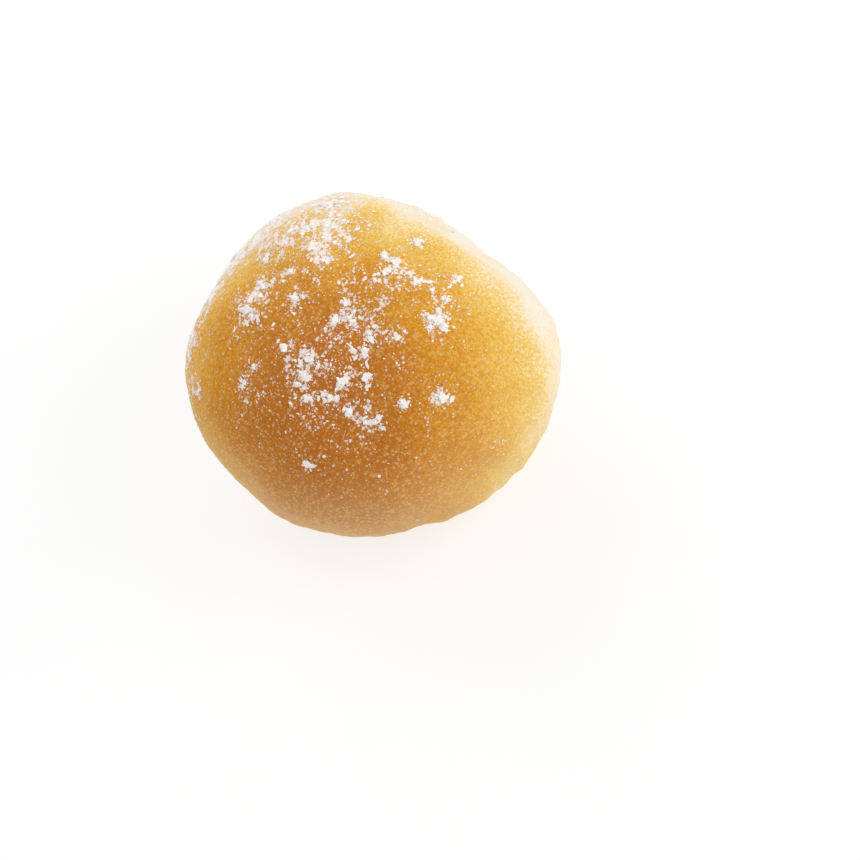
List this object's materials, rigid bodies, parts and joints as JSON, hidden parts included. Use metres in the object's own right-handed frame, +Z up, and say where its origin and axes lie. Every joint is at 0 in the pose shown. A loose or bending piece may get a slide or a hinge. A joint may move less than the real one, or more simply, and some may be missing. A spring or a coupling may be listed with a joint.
{
  "type": "bread roll",
  "caption": "Soft round white bread roll with a browned domed top, pale rippled skirt, flat base and clinging lumps of flour.",
  "frame": {"origin": "bottom centre: the middle of the bounding box seen from above, on the flat base", "axes": "+Z up through the domed top, +X towards the side that baked slightly flatter, -Y towards the viewer"},
  "size_m": [0.0848, 0.089, 0.058],
  "materials": {
    "crust": "thin soft matt crust, golden brown on top and pale cream at the skirt, with a fine speckle",
    "flour": "dry matt off-white baking flour, as lumps, grains and dust on the crust"
  },
  "bodies": {
    "root": {"bread_roll": "crust"}
  },
  "joints": []
}
